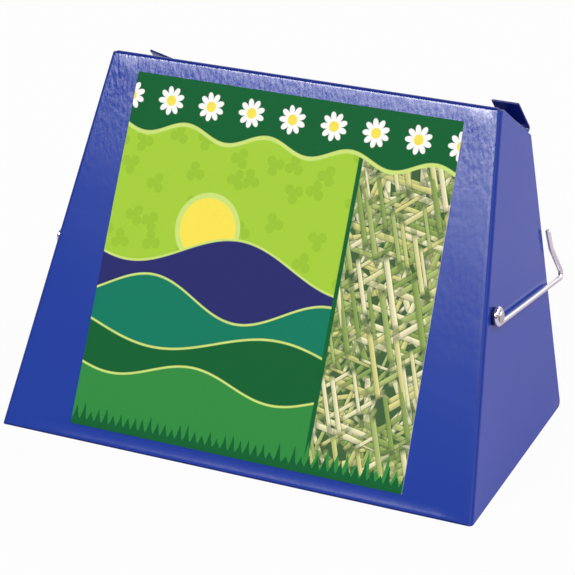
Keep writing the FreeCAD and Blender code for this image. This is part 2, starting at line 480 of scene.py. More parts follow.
    def _garland(self, under: Feed) -> Feed:
        """Print a dark band with a wavy edge and a row of daisies along the label's head.

        Args:
            under: The picture so far.

        Returns:
            The new picture.
        """
        picture = under
        down = self.add("Math", {0: self.up, 1: -1.0}, operation="MULTIPLY")
        for ink, rise in ((Ink.PALE_LIME, 0.0), (Ink.DARK_GREEN, self.garland_line)):
            edge = self._wave(-self.garland_level - rise, *self.garland_wave)
            picture = self._lay(picture, ink, self._inside(down, edge))
        half = self.daisy_spacing / 2
        along = self.add("Math", {0: self.across, 1: half, 2: -half}, operation="WRAP")
        above = self.add("Math", {0: self.up, 1: self.daisy_row}, operation="SUBTRACT")
        local = self.add("CombineXYZ", {"X": along, "Y": above})
        away = self.add("VectorMath", {0: local}, operation="LENGTH").outputs["Value"]
        picture = self._lay(picture, Ink.PAPER, self._rosette(local, self.daisy, self.daisy_turn))
        return self._lay(picture, Ink.YELLOW, self._inside(away, self.daisy.radius * self.daisy_eye))

    def _grass(self, under: Feed) -> Feed:
        """Print rows of grass along the label's foot.

        Args:
            under: The picture so far.

        Returns:
            The new picture.
        """
        picture = under
        for ink, blade, height, shift in self.grass_rows:
            shifted = self.add("Math", {0: self.across, 1: shift}, operation="ADD")
            fold = self.add("Math", {0: shifted, 1: blade / 2}, operation="PINGPONG")
            rise = self.add("MapRange", {"Value": fold, "From Max": blade / 2})
            point = self.add("Math", {0: rise, 1: self.blade_taper}, operation="POWER")
            wild = self.add("TexNoise", {"W": shifted, "Scale": 1 / blade}, noise_dimensions="1D")
            tall = self.add("Math", {0: wild, 1: height}, operation="MULTIPLY")
            edge = self.add("Math", {0: point, 1: tall, 2: height * self.sod_share}, operation="MULTIPLY_ADD")
            picture = self._lay(picture, ink, self._inside(self.up, edge))
        return picture


@dataclass(frozen=True)
class BarePaper:
    """The label paper's cut edge and back, which the eye sees as matt white.

    Its fibre is too fine to show and is drawn coarser.
    """

    name: str = "bare_label_paper"
    colour: str = "#F2F1EA"
    light_colour: str = "#FCFCF8"
    roughness: float = 0.8
    fibre_mm: float = 0.5

    def make(self) -> bpy.types.Material:
        """Return the bare paper as a material."""
        material, add = new_material(self.name)
        place = add("TexCoord").outputs["Object"]
        fibre = add("TexNoise", {"Vector": place, "Scale": per_mm(self.fibre_mm)})
        tone = add("Mix", {MIX_SHARE: fibre, MIX_UNDER: linear(self.colour),
                           MIX_OVER: linear(self.light_colour)}, data_type="RGBA")
        paper = add("BsdfPrincipled", {"Base Color": tone.outputs[MIXED], "Roughness": self.roughness})
        add("OutputMaterial", {"Surface": paper})
        return material


def of_kind(geom: list, kind: type) -> list:
    """Return the corners, edges or faces among what an operator made."""
    return [element for element in geom if isinstance(element, kind)]


def add_face(mesh: BMesh, corners: list[Vector]) -> BMFace:
    """Add a face through the corners, which run anticlockwise seen from outside."""
    return mesh.faces.new([mesh.verts.new(corner) for corner in corners])


def round_off(mesh: BMesh, geom: list, radius: float, segments: int, what: Rounded = Rounded.EDGES,
              clamp: bool = False) -> list[BMFace]:
    """Round edges or corners.

    Args:
        mesh: The mesh that they are in.
        geom: The edges or corners.
        radius: How far the rounding reaches to each side.
        segments: How many faces go round.
        what: Which of the two they are.
        clamp: Whether a rounding stops short of its neighbours.

    Returns:
        The faces of the rounding.
    """
    return bmesh.ops.bevel(mesh, geom=geom, offset=radius, offset_type="OFFSET", affect=what.value,
                           segments=segments, profile=0.5, material=-1, clamp_overlap=clamp)["faces"]


def link_piece(name: str, mesh: BMesh, material: bpy.types.Material) -> bpy.types.Object:
    """Scale a finished mesh to metres and put it in the scene.

    Args:
        name: The piece's name.
        mesh: The mesh in millimetres, which is freed.
        material: The finish of the whole piece.

    Returns:
        The new object, at the origin.
    """
    bmesh.ops.scale(mesh, vec=Vector((MM, MM, MM)), verts=mesh.verts)
    data = bpy.data.meshes.new(name)
    mesh.to_mesh(data)
    mesh.free()
    data.materials.append(material)
    data.shade_smooth()
    piece = bpy.data.objects.new(name, data)
    bpy.context.scene.collection.objects.link(piece)
    return piece


def weigh_normals(piece: bpy.types.Object) -> None:
    """Let the large flat faces of a piece keep their shading beside rounded edges."""
    weighted = piece.modifiers.new("flat faces", "WEIGHTED_NORMAL")
    weighted.weight = FLAT_FACE_WEIGHT


def bend_run(radius: float, turn: float) -> float:
    """Return how far from the corner a bend of a radius begins, for a turn in radians."""
    return radius * math.tan(turn / 2)


@dataclass
class RackShape:
    """The driving sizes of the rack in millimetres, and the directions of its panels."""

    mouth_width: float = 254.0
    mouth_back_width: float = 230.0
    mouth_depth: float = 122.9
    narrow_width: float = 207.4
    narrow_setback: float = 90.5
    rack_height: float = 165.6
    end_back_height: float = 139.2
    bottom_back_height: float = 141.9
    sheet: float = 1.0
    bend_radius: float = 1.0
    pivot_up_fold: float = 95.9
    pivot_behind_fold: float = 9.0

    def __post_init__(self) -> None:
        """Work out the panels' directions from the driving sizes."""
        self.outer_bend = self.bend_radius + self.sheet
        self.narrow_fold = Vector((0, self.narrow_setback, self.rack_height))
        self.front_slope = self.narrow_fold.normalized()
        self.front_out = ACROSS.cross(self.front_slope)
        self.panel_back = Vector((0, self.mouth_depth, self.bottom_back_height))
        self.bottom_slope = (self.panel_back - self.narrow_fold).normalized()
        self.bottom_out = ACROSS.cross(self.bottom_slope)
        self.fold_foot = Vector((self.mouth_width / 2, 0, 0))
        self.fold_head = Vector((self.narrow_width / 2, self.narrow_setback, self.rack_height))
        self.rim_back = Vector((self.mouth_back_width / 2, self.mouth_depth, 0))
        self.fold_up = (self.fold_head - self.fold_foot).normalized()
        self.end_out = (self.rim_back - self.fold_foot).cross(self.fold_up).normalized()
        self.end_back = self.fold_up.cross(self.end_out)
        up_fold = self.fold_foot + self.fold_up * self.pivot_up_fold
        self.pivot = up_fold + self.end_back * self.pivot_behind_fold
        self.narrow_run = bend_run(self.outer_bend, self.front_slope.angle(self.bottom_slope))
        self.end_run = bend_run(self.outer_bend, self.front_out.angle(self.end_out))

    def at_end(self, point: Vector, inset: float = 0.0) -> Vector:
        """Move a point along X on to the right end panel's outer face.

        Args:
            point: A point whose Y and Z stay.
            inset: How far inside the outer face it comes to lie.

        Returns:
            The moved point.
        """
        reach = (self.fold_foot - self.end_out * inset - point).dot(self.end_out) / self.end_out.x
        return point + ACROSS * reach

    def end_matrix(self, side: Side) -> Matrix:
        """Return the matrix from a hook's own axes to the rack: X back, Y up the fold and Z out."""
        axes = Matrix((self.end_back, self.fold_up, self.end_out)).transposed()
        return Matrix.Diagonal((side.value, 1, 1, 1)) @ Matrix.Translation(self.pivot) @ axes.to_4x4()


# A row of the front panel's drape that stays in the panel's plane
LEVEL = (0.0, 0.0, 0.0, 0.0, 0.0)


@dataclass
class FoldedSheet:
    """The rack's body: one steel sheet, cut out, folded and painted.

    The front panel's drape gives rows up the panel, from the rim or down from the head, and how far
    each row stands out at each of the drape lines, which are counted in from the end folds.
    """

    shape: RackShape
    paint: bpy.types.Material
    seam_gap: float = 0.12
    seam_inset: float = 2.25
    seam_run_on: float = 0.2
    rim_corner_radius: float = 3.0
    head_drop: float = 1.5
    head_chamfer: float = 3.0
    head_corner_radius: float = 0.75
    corner_steps: int = 6
    edge_radius: float = 0.4
    edge_steps: int = 3
    slit_reach: float = 0.35
    fold_steps: int = 10
    drape_lines: tuple[float, ...] = (3.0, 7.0, 13.0, 18.0, 40.0)
    rim_drape: tuple[tuple[float, tuple[float, ...]], ...] = (
        (0.9, LEVEL), (1.6, LEVEL),
        (2.2, (0.0, -0.005, -0.015, -0.018, -0.02)), (2.9, (0.0, -0.02, -0.055, -0.06, -0.065)),
        (7.2, (0.0, -0.04, -0.15, -0.19, -0.26)), (13.0, LEVEL))
    left_fade: float = 0.1
    head_drape: tuple[tuple[float, tuple[float, ...]], ...] = (
        (0.6, (0.0, 0.03, 0.03, 0.01, 0.01)), (3.8, (0.0, 0.22, 0.24, 0.06, 0.05)),
        (9.0, (0.0, 0.18, 0.2, 0.05, 0.04)), (30.0, LEVEL))
    row_slack: float = 0.04
    tab_width: float = 14.1
    tab_inset: float = 0.8
    tab_reach: float = 4.4
    tab_length: float = 18.6
    tab_corner_radius: float = 0.55
    tab_openings: dict[Side, tuple[float, float]] = field(
        default_factory=lambda: {Side.RIGHT: (19.2, 19.2), Side.LEFT: (16.1, 6.7)})
    hole_radius: float = 2.25
    hole_steps: int = 32
    drill_length: float = 8.0
    slit_facing: float = 0.8
    front_facing: float = 0.9
    # How far from the narrow fold, and how strongly, the folds are drawn darker: partly pooled paint, partly
    # painted shade
    narrow_fold_reach: float = 2.2
    narrow_fold_pool_and_shade: float = 0.75
    end_fold_pool_and_shade: float = 0.3

    def __post_init__(self) -> None:
        """Work out where the right slit and tab begin, and start the list of corners to round."""
        self.slit = self.seam_inset + self.seam_gap
        self.tab_outer = self.shape.at_end(self.shape.panel_back, self.slit + self.tab_inset)
        self.tab_inner = self.tab_outer - ACROSS * self.tab_width
        self.corners: list[tuple[Vector, float]] = []

    def build(self) -> bpy.types.Object:
        """Return the folded sheet as a piece on the rack."""
        mesh = bmesh.new()
        self._panels(mesh)
        self._drape_front(mesh)
        for side in Side:
            self._tab(mesh, side)
        bmesh.ops.remove_doubles(mesh, verts=mesh.verts, dist=MERGE_MM)
        self._join_tabs(mesh)
        for point, radius in self.corners:
            corner = min((v for v in mesh.verts if v.is_boundary), key=lambda v: (v.co - point).length)
            round_off(mesh, [corner], radius, self.corner_steps, Rounded.CORNERS)
        mesh = self._thicken(mesh)
        self._round_edges(mesh)
        self._mark_pooled_paint_and_shade(mesh)
        piece = link_piece("rack_sheet", mesh, self.paint)
        self._drill(piece)
        weigh_normals(piece)
        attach(piece, "rack")
        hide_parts("rack_body")
        return piece

    def _panels(self, mesh: BMesh) -> None:
        """Lay out the panels' outer faces with sharp folds, then round the folds.

        Args:
            mesh: The empty mesh that takes the panels.
        """
        s = self.shape
        seam_foot = s.narrow_fold - s.front_slope * (s.narrow_run + self.seam_run_on)
        end_head = s.at_end(Vector((0, s.mouth_depth, s.end_back_height)))
        fold_top = s.fold_head - s.fold_up * self.head_drop
        end_top = s.fold_head + (end_head - s.fold_head).normalized() * self.head_chamfer
        slit_head = s.at_end(s.narrow_fold, self.slit)
        front_right = [s.fold_foot, fold_top, s.at_end(Vector((0, fold_top.y, fold_top.z)), self.seam_inset),
                       s.at_end(seam_foot, self.seam_inset), s.at_end(seam_foot, self.slit), slit_head]
        bottom_right = [slit_head, s.at_end(s.panel_back, self.slit), self.tab_outer, self.tab_inner]
        for right in (front_right, bottom_right):
            add_face(mesh, right + [self._mirror(p, Side.LEFT) for p in reversed(right)])
        for side in Side:
            corners = [self._mirror(p, side) for p in (s.fold_foot, s.rim_back, end_head, end_top, fold_top)]
            add_face(mesh, corners[::side.value])
            self.corners += [(corners[1], self.rim_corner_radius), (corners[3], self.head_corner_radius)]
        bmesh.ops.remove_doubles(mesh, verts=mesh.verts, dist=MERGE_MM)
        folds = [e for e in mesh.edges if not e.is_boundary]
        narrow = [e for e in folds if abs(e.verts[0].co.z - e.verts[1].co.z) < s.sheet]
        ends = [e for e in folds if e not in narrow]
        for edges, run in ((narrow, s.narrow_run), (ends, s.end_run)):
            round_off(mesh, [e for e in edges if e.is_valid], run, self.fold_steps)

    def _drape_front(self, mesh: BMesh) -> None:
        """Give the front panel the fat paint edge along its rim and the slight swell below its head.

        The cuts run beside the end folds and across between them, so the folds keep their faces.

        Args:
            mesh: The mesh of outer faces, with its folds rounded.
        """
        s = self.shape
        top = s.narrow_fold.length - s.narrow_run
        rows = self.rim_drape + tuple((top - down, rises) for down, rises in self.head_drape)
        inward = {side: s.front_out.cross(self._mirror(s.fold_up, side)) * side.value for side in Side}
        feet = {side: self._mirror(s.fold_foot, side) for side in Side}
        front = [max(mesh.faces, key=lambda f: f.calc_area())]
        for side in Side:
            for line in self.drape_lines:
                self._cut(mesh, front, feet[side] + inward[side] * line, inward[side])

        def from_fold(point: Vector) -> float:
            """Return how far a point is from the nearer end fold."""
            return min((point - feet[side]).dot(inward[side]) for side in Side)

        middle = [f for f in front if from_fold(f.calc_center_median()) > self.drape_lines[0]]
        for up, _ in rows:
            self._cut(mesh, middle, s.front_slope * up, s.front_slope)
        for vert in dict.fromkeys(v for f in middle for v in f.verts):
            for up, rises in rows:
                if abs(vert.co.dot(s.front_slope) - up) < self.row_slack:
                    line = sum(from_fold(vert.co) > reach - self.row_slack for reach in self.drape_lines) - 1
                    faded = vert.co.x < 0 and rises[-1] < 0 and line < len(self.drape_lines) - 1
                    vert.co += s.front_out * rises[line] * (self.left_fade if faded else 1)
                    break

    @staticmethod
    def _cut(mesh: BMesh, faces: list[BMFace], place: Vector, normal: Vector) -> None:
        """Cut faces along a plane.

        Args:
            mesh: The mesh that they are in.
            faces: The faces, a list that comes to hold the new ones.
            place: A point on the plane.
            normal: The plane's normal.
        """
        edges = dict.fromkeys(e for f in faces for e in f.edges)
        verts = dict.fromkeys(v for f in faces for v in f.verts)
        cut = bmesh.ops.bisect_plane(mesh, geom=[*faces, *edges, *verts], plane_co=place, plane_no=normal,
                                     dist=CUT_SLACK_MM)
        faces[:] = of_kind(cut["geom"], BMFace)

    @staticmethod
    def _mirror(point: Vector, side: Side) -> Vector:
        """Return a point on the chosen end of the rack."""
        return Vector((point.x * side.value, point.y, point.z))

    @staticmethod
    def _on_right(point: Vector) -> Vector:
        """Return a point, or its mirror image, on the rack's right half."""
        return Vector((abs(point.x), point.y, point.z))

    def _tab(self, mesh: BMesh, side: Side) -> None:
        """Add a cage tab: a strip behind the bottom panel, a tight bend and a straight arm.

        Args:
            mesh: The mesh that takes the tab.
            side: The end of the rack that the tab is near.
        """
        s = self.shape
        for start, opening in zip((self.tab_outer, self.tab_inner), self.tab_openings[side]):
            turn = math.pi - math.radians(opening)
            first = mesh.verts.new(start)
            root = mesh.verts.new(start + s.bottom_slope * self.tab_reach)
            mesh.edges.new((first, root))
            centre = root.co + s.bottom_out * s.bend_radius
            arc = bmesh.ops.spin(mesh, geom=[root], cent=centre, axis=ACROSS, angle=turn,
                                 steps=self.fold_steps, use_merge=False)
            last = of_kind(arc["geom_last"], BMVert)[0]
            arm = Matrix.Rotation(turn, 3, ACROSS) @ s.bottom_slope
            tip = mesh.verts.new(last.co + arm * self.tab_length)
            mesh.edges.new((last, tip))
            self.corners.append((self._mirror(tip.co, side), self.tab_corner_radius))
        if side is Side.LEFT:
            loose = [v for v in mesh.verts if not v.link_faces]
            bmesh.ops.scale(mesh, vec=(side.value, 1, 1), verts=loose)
        wires = [e for e in mesh.edges if e.is_wire]
        made = bmesh.ops.bridge_loops(mesh, edges=wires)
        bmesh.ops.recalc_face_normals(mesh, faces=made["faces"])
        if first.link_faces[0].normal.dot(s.bottom_out) < 0:
            bmesh.ops.reverse_faces(mesh, faces=made["faces"])

    def _join_tabs(self, mesh: BMesh) -> None:
        """Make the bottom panel and the flat roots of its tabs one face.

        Args:
            mesh: The mesh of outer faces.
        """
        back = self.shape.panel_back
        roots = [e for e in mesh.edges if not e.is_boundary
                 and all((v.co - back).cross(ACROSS).length < MERGE_MM for v in e.verts)]
        bmesh.ops.dissolve_edges(mesh, edges=roots, use_verts=False)

    def _thicken(self, mesh: BMesh) -> BMesh:
        """Give the outer faces the sheet's thickness inwards.

        Args:
            mesh: The mesh of outer faces, which is freed.

        Returns:
            A closed mesh whose cut edges are marked by their material number.
        """
        data = bpy.data.meshes.new("thick")
        mesh.to_mesh(data)
        mesh.free()
        data.materials.append(self.paint)
        data.materials.append(self.paint)
        work = bpy.data.objects.new("thick", data)
        bpy.context.scene.collection.objects.link(work)
        wall = work.modifiers.new("wall", "SOLIDIFY")
        wall.thickness = self.shape.sheet
        wall.offset = -1
        wall.use_even_offset = True
        wall.use_quality_normals = True
        wall.material_offset_rim = CUT_EDGE
        thick = bmesh.new()
        thick.from_object(work, bpy.context.evaluated_depsgraph_get())
        bpy.data.objects.remove(work)
        bpy.data.meshes.remove(data)
        slope = self.shape.front_slope
        for vert in thick.verts:
            if vert.co.z < 0:
                vert.co -= slope * (vert.co.z / slope.z)
        thick.normal_update()
        return thick

    def _round_edges(self, mesh: BMesh) -> None:
        """Round the sheet's cut edges, as thick paint does, but for the fine slits beside the narrow bend.

        Args:
            mesh: The closed mesh, with its cut edges marked. The roundings are marked too.
        """
        s = self.shape

        def in_slit(vert: BMVert) -> bool:
            """Tell whether a corner lies on a slit's edge."""
            depth = (s.fold_foot - self._on_right(vert.co)).dot(s.end_out)
            above = (vert.co - s.panel_back).dot(s.bottom_out)
            beside = abs(depth - self.seam_inset) < self.slit_reach
            return beside and above < self.slit_reach and vert.co.z > s.end_back_height

        rims = [e for e in mesh.edges if len({f.material_index for f in e.link_faces}) == 2
                and not all(in_slit(v) for v in e.verts)]
        for face in round_off(mesh, rims, self.edge_radius, self.edge_steps, clamp=True):
            face.material_index = CUT_EDGE
        for vert in mesh.verts:
            vert.co.z = max(vert.co.z, 0.0)

    def _mark_pooled_paint_and_shade(self, mesh: BMesh) -> None:
        """Write down where the paint is drawn darker, for pooled paint and painted shade, and clear the cut
        edges' mark.

        Args:
            mesh: The closed mesh, with its cut edges marked.
        """
        thick = mesh.loops.layers.float.new(BakedPaint.pooled_and_shade_layer)
        for face in mesh.faces:
            share = self._pooled_paint_and_shade_share(face)
            face.material_index = 0
            for loop in face.loops:
                loop[thick] = share

    def _pooled_paint_and_shade_share(self, face: BMFace) -> float:
        """Tell how much darker paint a face gets, partly for pooled paint and partly as painted shade.

        Args:
            face: A face of the closed mesh.

        Returns:
            The share, from 0 to 1.
        """
        s = self.shape
        middle = face.calc_center_median()
        above = (middle - s.panel_back).dot(s.bottom_out)
        in_slit = abs(face.normal.x) > self.slit_facing and middle.z > s.end_back_height and above < 0
        # The rim's lowest strip is drawn darker, partly pooled paint and partly painted shade
        rim_pool_and_shade = (middle.dot(s.front_slope) < self.rim_drape[0][0]
                  and face.normal.dot(s.front_out) > self.front_facing)
        # The right tab's inner face lies in shade and is drawn darker as painted shade
        right_tab_shade = (above > s.sheet / 2 and middle.x > 0 and middle.y > s.narrow_setback
                        and face.normal.dot(s.bottom_out) < 0)
        if in_slit:
            return 0.0
        if face.material_index == CUT_EDGE or rim_pool_and_shade or right_tab_shade:
            return 1.0
        if (middle - s.narrow_fold).cross(ACROSS).length < self.narrow_fold_reach:
            return self.narrow_fold_pool_and_shade
        if (self._on_right(middle) - s.fold_foot).cross(s.fold_up).length < s.outer_bend:
            return self.end_fold_pool_and_shade
        return 0.0

    def _drill(self, piece: bpy.types.Object) -> None:
        """Cut the two rivet holes through the end panels.

        Args:
            piece: The folded sheet.
        """
        for side in Side:
            drill = bmesh.new()
            bmesh.ops.create_cone(drill, cap_ends=True, segments=self.hole_steps, radius1=self.hole_radius,
                                  radius2=self.hole_radius, depth=self.drill_length)
            bmesh.ops.transform(drill, matrix=self.shape.end_matrix(side), verts=drill.verts)
            bmesh.ops.recalc_face_normals(drill, faces=drill.faces)
            cutter = link_piece("drill", drill, self.paint)
            cut = piece.modifiers.new("hole", "BOOLEAN")
            cut.operation = "DIFFERENCE"
            cut.object = cutter
            depsgraph = bpy.context.evaluated_depsgraph_get()
            drilled = bpy.data.meshes.new_from_object(piece.evaluated_get(depsgraph))
            piece.modifiers.clear()
            piece.data = drilled
            bpy.data.objects.remove(cutter)
        piece.data.name = piece.name


class DrawnWire:
    """A round wire in a plane, drawn straight on and bent at its end. Headings are in degrees."""

    bend_step_degrees = 7.0
    least_bend_steps = 4
    end_rounding_steps = 4

    def __init__(self, start: Vector, heading: float, thickness: float, sides: int) -> None:
        """Begin the wire with a ring.

        Args:
            start: The middle of the ring.
            heading: The direction that the wire sets off in.
            thickness: The wire's diameter.
            sides: How many sides the ring has.
        """
        self.mesh = bmesh.new()
        self.at = start
        self.heading = heading
        facing = self.direction(heading).to_track_quat("Z", "Y").to_matrix().to_4x4()
        bmesh.ops.create_circle(self.mesh, segments=sides, radius=thickness / 2,
                                matrix=Matrix.Translation(start) @ facing)
        self.front = list(self.mesh.edges)

    @staticmethod
    def direction(degrees: float) -> Vector:
        """Return the unit vector of a heading."""
        return Vector((math.cos(math.radians(degrees)), math.sin(math.radians(degrees)), 0))

    def bend(self, turn: float, radius: float) -> None:
        """Sweep the wire's end round a bend.

        Args:
            turn: The turn in degrees, to the left if it is positive.
            radius: The radius of the wire's centre line.
        """
        hand = math.copysign(1, turn)
        centre = self.at + self.direction(self.heading + 90 * hand) * radius
        steps = max(self.least_bend_steps, round(abs(turn) / self.bend_step_degrees))
        swept = bmesh.ops.spin(self.mesh, geom=self.front, cent=centre, axis=UPWARD * hand,
                               angle=math.radians(abs(turn)), steps=steps, use_merge=False)
        self.front = of_kind(swept["geom_last"], BMEdge)
        self.at = centre + Matrix.Rotation(math.radians(turn), 3, UPWARD) @ (self.at - centre)
        self.heading += turn

    def run(self, length: float) -> None:
        """Draw the wire's end straight on.

        Args:
            length: How far.
        """
        step = self.direction(self.heading) * length
        drawn = bmesh.ops.extrude_edge_only(self.mesh, edges=self.front)["geom"]
        bmesh.ops.translate(self.mesh, vec=step, verts=of_kind(drawn, BMVert))
        self.front = [e for e in of_kind(drawn, BMEdge) if e.is_boundary]
        self.at = self.at + step

    def close(self, rounding: float) -> BMesh:
        """Close both ends of the wire.

        Args:
            rounding: The radius at the rims of its ends.

        Returns:
            The finished mesh.
        """
        ends = bmesh.ops.holes_fill(self.mesh, edges=[e for e in self.mesh.edges if e.is_boundary])
        round_off(self.mesh, [e for f in ends["faces"] for e in f.edges], rounding, self.end_rounding_steps)
        return self.mesh


@dataclass
class HookSet:
    """One end's wire hook with its rivet and washer, made on the right end and mirrored for the left."""

    shape: RackShape
    side: Side
    wire_finish: bpy.types.Material
    rivet_finish: bpy.types.Material
    shade_dark_washer_finish: bpy.types.Material
    rivet_radius: float = 2.2
    rivet_fit: float = 0.05
    rivet_rounding: float = 1.1 / 6
    head_radius: float = 3.0
    head_height: float = 1.1
    tail_radius: float = 3.4
    tail_height: float = 1.1
    washer_radius: float = 4.3
    washer_thickness: float = 0.9
    washer_rounding: float = 0.225
    wire: float = 2.5
    wire_end_rounding: float = 0.5
    running_clearance: float = 0.05
    end_play: float = 0.1
    eye_gap: float = 0.3
    leg_length: float = 86.4
    leg_degrees: float = 19.3
    vee_radius: float = 2.3
    vee_turn_degrees: float = 130.0
    return_length: float = 21.8
    kink_radius: float = 4.0
    kink_turn_degrees: float = 20.0
    tip_length: float = 10.9
    wire_steps: int = 24
    turned_steps: int = 48
    dome_steps: int = 6
    corner_degrees: float = 40.0
    corner_steps: int = 3

    def build(self) -> list[bpy.types.Object]:
        """Return the hook, the rivet and the washer, each riding on its body."""
        name = self.side.name.lower()
        pieces = []
        for part, mesh, finish, body, slot in (
                ("hook", self._hook(), self.wire_finish, f"{name}_hook", "plated_wire"),
                ("rivet", self._rivet(), self.rivet_finish, "rack", "rivet_steel"),
                ("washer", self._washer(), self.shade_dark_washer_finish, "rack", "rivet_steel")):
            bmesh.ops.transform(mesh, matrix=self.shape.end_matrix(self.side), verts=mesh.verts)
            bmesh.ops.recalc_face_normals(mesh, faces=mesh.faces)
            piece = link_piece(f"{name}_{part}", mesh, finish)
            weigh_normals(piece)
            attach(piece, body)
            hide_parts(f"{part}_{name}")
            pieces.append(piece)
        return pieces

    def _hook(self) -> BMesh:
        """Return the hook's wire, swept from the eye's free end to the tip."""
        eye_radius = self.rivet_radius + self.running_clearance + self.wire / 2
        free_sine = (eye_radius - self.wire / 2 - self.eye_gap) / (eye_radius + self.wire / 2)
        free_degrees = self.leg_degrees - math.degrees(math.asin(free_sine))
        vee_run = bend_run(self.vee_radius, math.radians(self.vee_turn_degrees))
        kink_run = bend_run(self.kink_radius, math.radians(self.kink_turn_degrees))
        lift = UPWARD * (self.washer_thickness + self.end_play + self.wire / 2)
        start = DrawnWire.direction(free_degrees) * eye_radius + lift
        wire = DrawnWire(start, free_degrees + 90, self.wire, self.wire_steps)
        wire.bend(self.leg_degrees + 360 - wire.heading, eye_radius)
        wire.run(self.leg_length - vee_run)
        wire.bend(self.vee_turn_degrees, self.vee_radius)
        wire.run(self.return_length - vee_run - kink_run)
        wire.bend(-self.kink_turn_degrees, self.kink_radius)
        wire.run(self.tip_length - kink_run)
        return wire.close(self.wire_end_rounding)

    def _turned(self, outline: list[tuple[float, float]], rounding: float) -> BMesh:
        """Turn an outline of radius and height about the rivet's axis and round its corners.

        Args:
            outline: The corners of the outline, from the axis and back to it, or a closed loop.
            rounding: The radius at the corners.

        Returns:
            The turned mesh.
        """
        mesh = bmesh.new()
        verts = [mesh.verts.new((radius, 0, height)) for radius, height in outline]
        for first, second in zip(verts, verts[1:]):
            mesh.edges.new((first, second))
        if outline[0][0] > 0:
            mesh.edges.new((verts[-1], verts[0]))
        bmesh.ops.spin(mesh, geom=list(mesh.edges) + list(mesh.verts), cent=Vector(), axis=UPWARD,
                       angle=2 * math.pi, steps=self.turned_steps, use_merge=True)
        bmesh.ops.remove_doubles(mesh, verts=mesh.verts, dist=MERGE_MM)
        bmesh.ops.recalc_face_normals(mesh, faces=mesh.faces)
        corners = [e for e in mesh.edges if e.calc_face_angle(0) > math.radians(self.corner_degrees)]
        round_off(mesh, corners, rounding, self.corner_steps)
        return mesh

    def _rivet(self) -> BMesh:
        """Return the rivet: a domed head outside, the shank and the set tail inside."""
        grip = self.washer_thickness + self.wire + 2 * self.end_play
        sheet = self.shape.sheet
        outline = [(0, -sheet - self.tail_height), (self.tail_radius, -sheet - self.tail_height),
                   (self.tail_radius, -sheet), (self.rivet_radius, -sheet), (self.rivet_radius, grip)]
        for step in range(self.dome_steps):
            angle = math.pi / 2 / self.dome_steps * step
            outline.append((self.head_radius * math.cos(angle), grip + self.head_height * math.sin(angle)))
        outline.append((0, grip + self.head_height))
        return self._turned(outline, self.rivet_rounding)

    def _washer(self) -> BMesh:
        """Return the washer that holds the hook off the panel."""
        bore = self.rivet_radius + self.rivet_fit
        outline = [(bore, 0), (self.washer_radius, 0), (self.washer_radius, self.washer_thickness),
                   (bore, self.washer_thickness)]
        return self._turned(outline, self.washer_rounding)


@dataclass
class FrontLabel:
    """The printed paper label on the front panel."""

    shape: RackShape
    foot_right: float = 89.95
    foot_left: float = -88.6
    head_right: float = 86.9
    head_left: float = -86.75
    height: float = 172.0
    above_rim: float = 7.7
    thickness: float = 0.25

    def build(self) -> bpy.types.Object:
        """Return the label as a piece on the rack."""
        s = self.shape
        foot = s.front_slope * self.above_rim
        head = foot + s.front_slope * self.height
        mesh = bmesh.new()
        face = add_face(mesh, [foot + ACROSS * self.foot_left, foot + ACROSS * self.foot_right,
                               head + ACROSS * self.head_right, head + ACROSS * self.head_left])
        raised = bmesh.ops.extrude_face_region(mesh, geom=[face])["geom"]
        bmesh.ops.translate(mesh, vec=s.front_out * self.thickness, verts=of_kind(raised, BMVert))
        bmesh.ops.recalc_face_normals(mesh, faces=mesh.faces)
        printed = max(mesh.faces, key=lambda f: f.normal.dot(s.front_out))
        for side in mesh.faces:
            side.material_index = 0 if side is printed else 1
        slope_degrees = math.degrees(BACKWARD.angle(s.front_slope))
        piece = link_piece("front_label", mesh, PrintedPaper(slope_degrees, self.above_rim).make())
        piece.data.materials.append(BarePaper().make())
        piece.data.shade_flat()
        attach(piece, "rack")
        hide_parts("label")
        return piece


@dataclass(frozen=True)
class SoftBox:
    """A soft light high in the studio's surroundings, in degrees.

    The azimuth runs to the right from straight in front of the rack.
    """

    azimuth: float
    half_width: float
    low: float
    high: float
    low_blur: float
    blur: float
    radiance: float

    def shine(self, add: AddNode, heading: Feed) -> Feed:
        """Work out the light that comes from each direction.

        Args:
            add: add_node for the world's tree.
            heading: The direction looked at, as a unit vector.

        Returns:
            The radiance.
        """
        turned = add("VectorRotate", {"Vector": heading, "Angle": -math.radians(self.azimuth)},
                     rotation_type="Z_AXIS")
        axes = add("SeparateXYZ", {0: turned}).outputs
        height = add("Math", {0: axes["Z"]}, operation="ARCSINE")
        ahead = add("Math", {0: axes["Y"], 1: -1.0}, operation="MULTIPLY")
        aside = add("Math", {0: axes["X"], 1: ahead}, operation="ARCTAN2")
        offset = add("Math", {0: aside}, operation="ABSOLUTE")
        light = self.radiance
        for angle, dark, bright in ((height, self.low - self.low_blur, self.low + self.low_blur),
                                    (height, self.high + self.blur, self.high - self.blur),
                                    (offset, self.half_width + self.blur, self.half_width - self.blur)):
            edge = add("MapRange", {"Value": angle, "From Min": math.radians(dark),
                                    "From Max": math.radians(bright)}, interpolation_type="SMOOTHSTEP")
            light = add("Math", {0: light, 1: edge}, operation="MULTIPLY")
        return light


